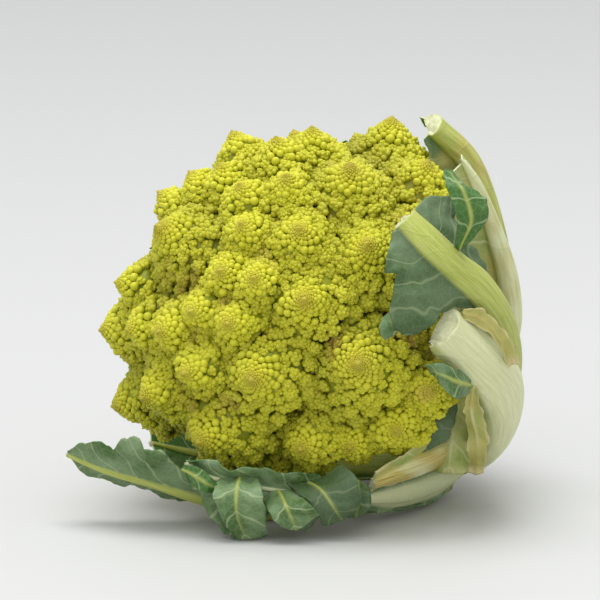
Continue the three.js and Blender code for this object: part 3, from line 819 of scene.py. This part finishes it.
def growLeaf(name, leaf, seed):
    rows = blades["rows"]
    shares = np.linspace(0, 1, rows)
    run = smoothRun(np.array(leaf["stations"], dtype=float), shares)
    place, stalk, thick = run[:, :3], run[:, 5:6], run[:, 6:7]
    length = np.concatenate([[0], np.cumsum(np.linalg.norm(np.diff(place, axis=0), axis=1))])
    tangent = unit(np.gradient(place, axis=0))
    outward = place - centre
    outward -= tangent * np.sum(outward * tangent, axis=1, keepdims=True)
    reach = np.linalg.norm(outward, axis=1, keepdims=True)
    outward /= reach
    side = np.cross(tangent, outward)
    edges = []
    for key, column in (("left", 3), ("right", 4)):
        edge = run[:, column]
        if key in leaf:
            steps = np.array(leaf[key], dtype=float)
            edge = np.interp(length[-1] - length, steps[:, 0], steps[:, 1])
        tears = softNoise(np.stack([length, 0 * length + column * 50, 0 * length], 1), 5, seed)
        tears += 0.5 * softNoise(np.stack([length, 0 * length + column * 50, 0 * length], 1), 2.2, seed)
        edge = stalk[:, 0] + (edge - stalk[:, 0]) * (1 - leaf["torn"] * np.clip(tears + 0.3, 0, 1))
        edges.append(np.maximum(edge, stalk[:, 0] + 0.8)[:, None])
    across = np.sin(np.linspace(-1, 1, blades["stalkColumns"]) * math.pi / 2)[None] * stalk
    steps = np.linspace(0, 1, blades["bladeColumns"] + 1)[1:][None]
    leftPart = -(stalk + (edges[0] - stalk) * steps[:, ::-1])
    rightPart = stalk + (edges[1] - stalk) * steps
    distance = np.concatenate([leftPart, across, rightPart], axis=1)
    bladeShare = np.zeros_like(distance)
    bladeShare[:, : blades["bladeColumns"]] = steps[:, ::-1]
    bladeShare[:, -blades["bladeColumns"] :] = steps
    inStalk = np.sqrt(np.clip(1 - (distance / stalk) ** 2, 0, 1))

    fold = np.radians(np.where(distance < 0, leaf.get("foldLeft", 0), leaf.get("foldRight", 0)))
    fold = fold * np.clip(np.abs(distance) / (stalk * 1.2), 0, 1)
    bend = fold + np.abs(distance) / reach
    sideways = np.sign(distance) * reach * (np.sin(bend) - np.sin(fold))
    inwards = reach * (np.cos(fold) - np.cos(bend))
    middle = place[:, None] + side[:, None] * sideways[..., None] - outward[:, None] * inwards[..., None]

    columns = distance.shape[1]
    along = np.repeat(length[:, None], columns, axis=1)
    paper = np.stack([along, distance, bladeShare * 6], axis=2).reshape(-1, 3)
    ruffle = softNoise(paper, 15, seed + 1) + 0.45 * softNoise(paper, 6, seed + 2)
    veins = (along - 0.9 * np.abs(distance)) / blades["veinSpacing"]
    quilt = 1 - (0.5 + 0.5 * np.cos(2 * math.pi * veins)) ** 4
    wide = np.clip((np.maximum(edges[0], edges[1]) - stalk) / 12, 0, 1)
    lift = leaf["wave"] * bladeShare**1.5 * ruffle.reshape(rows, columns) * 1.3
    lift += blades["quilting"] * quilt * np.clip(bladeShare * 4, 0, 1) * wide
    normal = unit(np.cross(np.gradient(middle, axis=0), np.gradient(middle, axis=1)))
    middle = middle + normal * lift[..., None]
    normal = unit(np.cross(np.gradient(middle, axis=0), np.gradient(middle, axis=1)))
    normal *= np.sign(np.sum(normal * outward[:, None], axis=2, keepdims=True).mean())

    ribs = softNoise(np.stack([along * 0.08, distance, 0 * along], 2).reshape(-1, 3), 2.2, seed + 3)
    halfOuter = blades["thickness"] / 2 * (1 - 0.4 * bladeShare)
    halfInner = halfOuter + blades["innerBulge"] * thick * inStalk
    halfOuter = halfOuter + blades["outerBulge"] * thick * inStalk
    halfOuter = halfOuter + blades["stalkRibs"] * ribs.reshape(rows, columns) * inStalk
    age = np.interp(shares, *np.array(leaf["age"], dtype=float).T)[:, None]
    blotches = softNoise(paper, 11, seed + 4).reshape(rows, columns)
    values = {
        "stalk": np.clip(inStalk * 2.2, 0, 1),
        "edge": bladeShare,
        "age": np.clip(age * (1 + np.where(inStalk > 0, 0.9, 1.6) * blotches), 0, 1),
        "cut": 0 * distance,
        "paintedShade": 0 * distance + leaf.get("paintedShade", 0),
        "pale": 0 * distance + leaf.get("pale", 0),
    }
    uv = np.stack([np.abs(distance), along], axis=2) / 100

    # the cut end closes in three more rows, rough as it was broken
    dice = np.random.default_rng(seed)
    for shrink in (0.86, 0.45, 0.04):
        rough = dice.normal(0, blades["brokenEnd"], (1, columns, 1)) * (inStalk[-1:, :, None] > 0)
        middle = np.concatenate([middle, middle[-1:] + tangent[-1] * rough])
        normal = np.concatenate([normal, normal[-1:]])
        halfOuter = np.concatenate([halfOuter, halfOuter[rows - 1 : rows] * shrink])
        halfInner = np.concatenate([halfInner, halfInner[rows - 1 : rows] * shrink])
        uv = np.concatenate([uv, uv[-1:]])
        values = {key: np.concatenate([value, value[-1:]]) for key, value in values.items()}
        values["cut"][-1] = 1
    outer = middle + normal * halfOuter[..., None]
    inner = middle - normal * halfInner[..., None]
    outer[..., 2] = np.maximum(outer[..., 2], 0.05)
    inner[..., 2] = np.maximum(inner[..., 2], 0.6)
    skins = [skinOf(outer, inner, values, uv)]
    skins += [growScrap(scrap, seed * 3 + i) for i, scrap in enumerate(scraps.get(name, []))]
    starts = np.cumsum([0] + [len(skin[0]) for skin in skins])
    points = np.concatenate([skin[0] for skin in skins])
    faces = np.concatenate([skin[1] + start for skin, start in zip(skins, starts)])
    attributes = {key: np.concatenate([skin[2][key] for skin in skins]) for key in skins[0][2]}
    uv = np.concatenate([skin[3] for skin in skins])
    print(name, len(faces), "triangles")
    return makeMesh(name, points, faces, attributes, uv)


# Materials
def linearColour(hexText):
    channels = [int(hexText[i : i + 2], 16) / 255 for i in (1, 3, 5)]
    return tuple(c / 12.92 if c <= 0.04045 else ((c + 0.055) / 1.055) ** 2.4 for c in channels) + (1,)


def addNode(tree, kind, settings=(), links=()):
    node = tree.nodes.new(kind)
    for key, value in dict(settings).items():
        if isinstance(key, str) and hasattr(node, key):
            setattr(node, key, value)
        else:
            node.inputs[key].default_value = value
    for key, source in dict(links).items():
        tree.links.new(source, node.inputs[key])
    return node


def newMaterial(name, roughness, ior):
    material = bpy.data.materials.new(name)
    material.use_nodes = True
    shader = material.node_tree.nodes["Principled BSDF"]
    shader.inputs["Roughness"].default_value = roughness
    shader.inputs["IOR"].default_value = ior
    return material, material.node_tree, shader


def attributeOf(tree, name):
    return addNode(tree, "ShaderNodeAttribute", {"attribute_name": name}).outputs["Fac"]


def ranged(tree, value, low, high, top=1.0):
    # from 0 at low to top at high
    limits = {"From Min": low, "From Max": high, "To Max": top}
    return addNode(tree, "ShaderNodeMapRange", limits, {"Value": value}).outputs[0]


def noisy(tree, vector, scale, detail):
    settings = {"Scale": scale, "Detail": detail}
    return addNode(tree, "ShaderNodeTexNoise", settings, {"Vector": vector}).outputs["Fac"]


def combined(tree, operation, a, b, extra=None):
    # a and b are sockets or numbers, and so is what is added after a product
    settings, links = {"operation": operation}, {}
    for socket, value in ((0, a), (1, b), (2, extra)):
        if isinstance(value, bpy.types.NodeSocket):
            links[socket] = value
        elif value is not None:
            settings[socket] = value
    return addNode(tree, "ShaderNodeMath", settings, links).outputs[0]


def roughened(tree, shader, height, strength, depth, inwards=False):
    settings = {"Strength": strength, "Distance": depth, "invert": inwards}
    bump = addNode(tree, "ShaderNodeBump", settings, {"Height": height})
    tree.links.new(bump.outputs[0], shader.inputs["Normal"])


def mixed(tree, factor, a, b):
    node = addNode(tree, "ShaderNodeMix", {"data_type": "RGBA"})
    for socket, value in ((0, factor), (6, a), (7, b)):
        if isinstance(value, bpy.types.NodeSocket):
            tree.links.new(value, node.inputs[socket])
        else:
            node.inputs[socket].default_value = value
    return node.outputs[2]


# Romanesco curd: waxy living buds, matt; each is bright above, with olive painted shade in the hollows
# below it and between the florets.
def curdMaterial():
    material, tree, shader = newMaterial("romanescoCurdWaxyBuds", 0.52, 1.42)
    coords = addNode(tree, "ShaderNodeTexCoord").outputs["Object"]
    creviceShade, tipness, flesh, valley, stain = (
        attributeOf(tree, name) for name in ("creviceShade", "tipness", "flesh", "valley", "stain")
    )
    patches = noisy(tree, coords, 38.0, 3.0)
    base = mixed(tree, patches, linearColour("#c1c01a"), linearColour("#d7d33a"))
    # painted shade: olive where the crevice shade is deep, in the hollows between and under the buds
    hollowShade = ranged(tree, creviceShade, 0.25, 0.95, 0.9)
    shaded = mixed(tree, hollowShade, base, linearColour("#808b12"))
    # painted shade: darker olive in the valleys between the florets
    shaded = mixed(tree, valley, shaded, linearColour("#85831a"))
    # bruised brown here and there, deep between the florets
    bruise = ranged(tree, noisy(tree, coords, 55.0, 2.0), 0.58, 0.7)
    bruise = combined(tree, "MULTIPLY", bruise, valley)
    shaded = mixed(tree, bruise, shaded, linearColour("#8f6436"))
    browned = combined(tree, "MULTIPLY", tipness, 0.75)
    tip = mixed(tree, browned, shaded, linearColour("#a08f28"))
    # tan where the curd was knocked or dried out
    tip = mixed(tree, stain, tip, linearColour("#b08e4c"))
    deepFlesh = combined(tree, "MULTIPLY", flesh, valley)
    pale = mixed(tree, deepFlesh, tip, linearColour("#c2c47c"))
    tree.links.new(pale, shader.inputs["Base Color"])
    # the skin's own grain, about 0.8 mm
    grain = addNode(tree, "ShaderNodeTexVoronoi", {"Scale": 1250.0}, {"Vector": coords})
    roughened(tree, shader, grain.outputs["Distance"], 0.3, 0.0003, inwards=True)
    shader.inputs["Subsurface Weight"].default_value = 0.06
    shader.inputs["Subsurface Radius"].default_value = (0.9, 1.0, 0.25)
    shader.inputs["Subsurface Scale"].default_value = 0.001
    return material


# Leaf: thin, matt and grey-green under its wax bloom, with raised pale veins that run out to the edge,
# a network of finer ones between them, and a thick pale midrib with fine lengthwise ribs.
def leafMaterial(name, look):
    material, tree, shader = newMaterial(name, look["roughness"], 1.45)
    coords = addNode(tree, "ShaderNodeTexCoord")
    place, paper = coords.outputs["Object"], coords.outputs["UV"]
    stalk, edge, age, cut, inside, paintedShade, palest = (
        attributeOf(tree, name) for name in ("stalk", "edge", "age", "cut", "inside", "paintedShade", "pale")
    )
    clouds = noisy(tree, place, 60.0, 4.0)
    grain = noisy(tree, place, 900.0, 2.0)
    bloom = ranged(tree, clouds, 0.38, 0.64)
    blade = mixed(tree, bloom, linearColour(look["green"]), linearColour(look["bloom"]))
    blade = mixed(tree, inside, blade, linearColour(look["inside"]))

    slant = addNode(tree, "ShaderNodeMapping", {"Scale": (-0.9, 1, 1)}, {"Vector": paper})
    # side veins 13 mm apart and about 0.8 mm wide, on a map in tenths of a metre
    wandering = {"Distortion": 4.2, "Detail": 2.0, "Detail Scale": 1.2}
    bands = addNode(
        tree,
        "ShaderNodeTexWave",
        {"bands_direction": "DIAGONAL", "Scale": 4.83, **wandering},
        {"Vector": slant.outputs[0]},
    )
    sideVein = ranged(tree, bands.outputs["Fac"], 0.965, 1.0, 0.5)
    # the finest veins close off patches about 3.5 mm wide
    patches = {"feature": "DISTANCE_TO_EDGE", "Scale": 380.0}
    mesh = addNode(tree, "ShaderNodeTexVoronoi", patches, {"Vector": place})
    fineVein = ranged(tree, mesh.outputs["Distance"], 0.09, 0.01, 0.15)
    veins = combined(tree, "MAXIMUM", sideVein, fineVein)
    blade = mixed(tree, veins, blade, linearColour(look["vein"]))
    old = mixed(tree, clouds, linearColour("#8d8f2c"), linearColour("#cfc77c"))
    old = mixed(tree, ranged(tree, edge, 0.7, 1.0), old, linearColour("#d6c795"))
    blade = mixed(tree, ranged(tree, age, 0.25, 0.75), blade, old)
    # painted shade: the blade is turned dark green where its piece lies in shade
    blade = mixed(tree, paintedShade, blade, linearColour("#33472c"))

    # fibres about 0.8 mm wide run the length of the stalk
    fibreMap = addNode(tree, "ShaderNodeMapping", {"Scale": (1, 0.05, 1)}, {"Vector": paper})
    fibres = noisy(tree, fibreMap.outputs[0], 120.0, 3.0)
    fibreMask = ranged(tree, fibres, 0.35, 0.68)
    rib = mixed(tree, fibreMask, linearColour(look["stalkDark"]), linearColour(look["stalk"]))
    rib = mixed(tree, palest, rib, linearColour("#dde2b6"))
    streaks = mixed(tree, fibreMask, linearColour("#a48e3c"), linearColour("#d3c677"))
    rib = mixed(tree, ranged(tree, age, 0.3, 0.95), rib, streaks)
    whole = mixed(tree, stalk, blade, rib)
    ends = mixed(tree, grain, linearColour("#b9bd84"), linearColour("#dfdfbf"))
    whole = mixed(tree, cut, whole, ends)
    tree.links.new(whole, shader.inputs["Base Color"])

    relief = combined(tree, "MULTIPLY_ADD", grain, 0.25, veins)
    relief = combined(tree, "MULTIPLY_ADD", fibres, 0.5, relief)
    roughened(tree, shader, relief, 0.5, 0.0005)
    return material


# Stem: pale fresh flesh under a thin green skin, corky and brown where leaves came off, and at the cut
# a whitish woody ring round softer pith.
def stemMaterial():
    material, tree, shader = newMaterial("brassicaStemFreshCut", 0.5, 1.43)
    place = addNode(tree, "ShaderNodeTexCoord").outputs["Object"]
    cut, scar, across = (attributeOf(tree, name) for name in ("cut", "scar", "across"))
    patches = noisy(tree, place, 90.0, 5.0)
    skin = mixed(tree, patches, linearColour("#b3c07a"), linearColour("#dfe2bb"))
    skin = mixed(tree, scar, skin, linearColour("#b59c6c"))
    ring = ranged(tree, across, 0.62, 0.8)
    flesh = mixed(tree, ring, linearColour("#dfe3bd"), linearColour("#eeeeda"))
    # dry fibre ends about 1 mm apart
    fibres = addNode(tree, "ShaderNodeTexVoronoi", {"Scale": 1000.0}, {"Vector": place})
    flesh = mixed(tree, fibres.outputs["Distance"], flesh, linearColour("#c8b98a"))
    tree.links.new(mixed(tree, cut, skin, flesh), shader.inputs["Base Color"])
    roughened(tree, shader, patches, 0.5, 0.0005)
    return material


leafLook = {
    "roughness": 0.55, "green": "#46662f", "bloom": "#7b9469", "inside": "#3f6a28", "vein": "#b3c290",
    "stalk": "#c0c66c", "stalkDark": "#a2ad4a",
}
stalkLook = {
    "roughness": 0.45, "green": "#8fa04a", "bloom": "#b9bd78", "inside": "#7b8d2e", "vein": "#d5d8a8",
    "stalk": "#dfe1b4", "stalkDark": "#cfd49b",
}


print("modelling the buds")
fineBud = modelBud(7, 4)
roundBud = modelBud(10, 7)
dice = np.random.default_rng(5)
knobs = [modelLittleFloret(0.8, 0.34, 0.32, 0.5, dice) for _ in range(3)]
littleFlorets = [modelLittleFloret(0.6, 0.26, 0.22, 0.38, dice) for _ in range(3)]
print("knob", len(knobs[0][1]), "little floret", len(littleFlorets[0][1]))

curd = curdMaterial()
crown, florets = layOut()


def neighboursOf(mine):
    near = []
    for other in [crown, *florets]:
        gap = np.linalg.norm(other["waist"] - mine["waist"])
        if other is not mine and gap < 0.8 * (mine["width"] + other["width"]):
            near.append(other)
    return near


addToObject(growFloret("crown", crown, neighboursOf(crown), 1), "crown", curd)
for i, floret in enumerate(florets):
    node = f"floret_{i + 1:02d}"
    addToObject(growFloret(node, floret, neighboursOf(floret), 10 + i), node, curd)
print("florets grown")

addToObject(modelStem(), "stem", stemMaterial())
print("stem modelled")

leafBlade = leafMaterial("brassicaLeafWaxBloom", leafLook)
paleStalk = leafMaterial("brassicaStalkRibbed", stalkLook)
for i, (name, leaf) in enumerate(leaves.items()):
    piece = growLeaf(name, leaf, 60 + i)
    addToObject(piece, name, paleStalk if leaf["slot"] == "stalk" else leafBlade)
print("leaves grown")

# Floor, light and camera
room = {
    "floorColour": "#c6c6c4",
    "airColour": "#f1f3f6",
    "airStrength": 0.79,
    # each light's place in metres, its size and its power
    "softboxAbove": ((-0.1, -0.05, 2.6), 1.9, 58),
    "softboxFront": ((-0.3, -1.5, 1.5), 1.4, 9),
    "lookAt": (-0.0009, -0.0025, 0.087),
    "elevation": 10,
    "distance": 3,
    "seenWidth": 0.252,  # how many metres the picture spans at the head
}

bpy.ops.mesh.primitive_plane_add(size=6, location=(0, 0, 0))
floor = bpy.context.object
floor.name = "floor"
floorMaterial, floorTree, floorShader = newMaterial("paleTable", 0.6, 1.45)
floorShader.inputs["Base Color"].default_value = linearColour(room["floorColour"])
floor.data.materials.append(floorMaterial)

bpy.context.scene.view_settings.view_transform = "Standard"
world = bpy.data.worlds.new("softRoom")
world.use_nodes = True
air = world.node_tree.nodes["Background"]
air.inputs["Color"].default_value = linearColour(room["airColour"])
air.inputs["Strength"].default_value = room["airStrength"]
bpy.context.scene.world = world

for name in ("softboxAbove", "softboxFront"):
    place, size, power = room[name]
    light = bpy.data.lights.new(name, "AREA")
    light.size = size
    light.energy = power
    lamp = bpy.data.objects.new(name, light)
    lamp.location = place
    lamp.rotation_euler = (Vector(place) - Vector((0, 0, 0.08))).to_track_quat("Z", "Y").to_euler()
    bpy.context.collection.objects.link(lamp)

camera = bpy.data.cameras.new("camera")
camera.sensor_width = 36
camera.lens = camera.sensor_width * room["distance"] / room["seenWidth"]
viewer = bpy.data.objects.new("camera", camera)
tilt = math.radians(room["elevation"])
toViewer = Vector((0, -math.cos(tilt), math.sin(tilt)))
viewer.location = Vector(room["lookAt"]) + toViewer * room["distance"]
viewer.rotation_euler = toViewer.to_track_quat("Z", "Y").to_euler()
bpy.context.collection.objects.link(viewer)
bpy.context.scene.camera = viewer
print("floor, light and camera set")

bpy.context.view_layer.update()
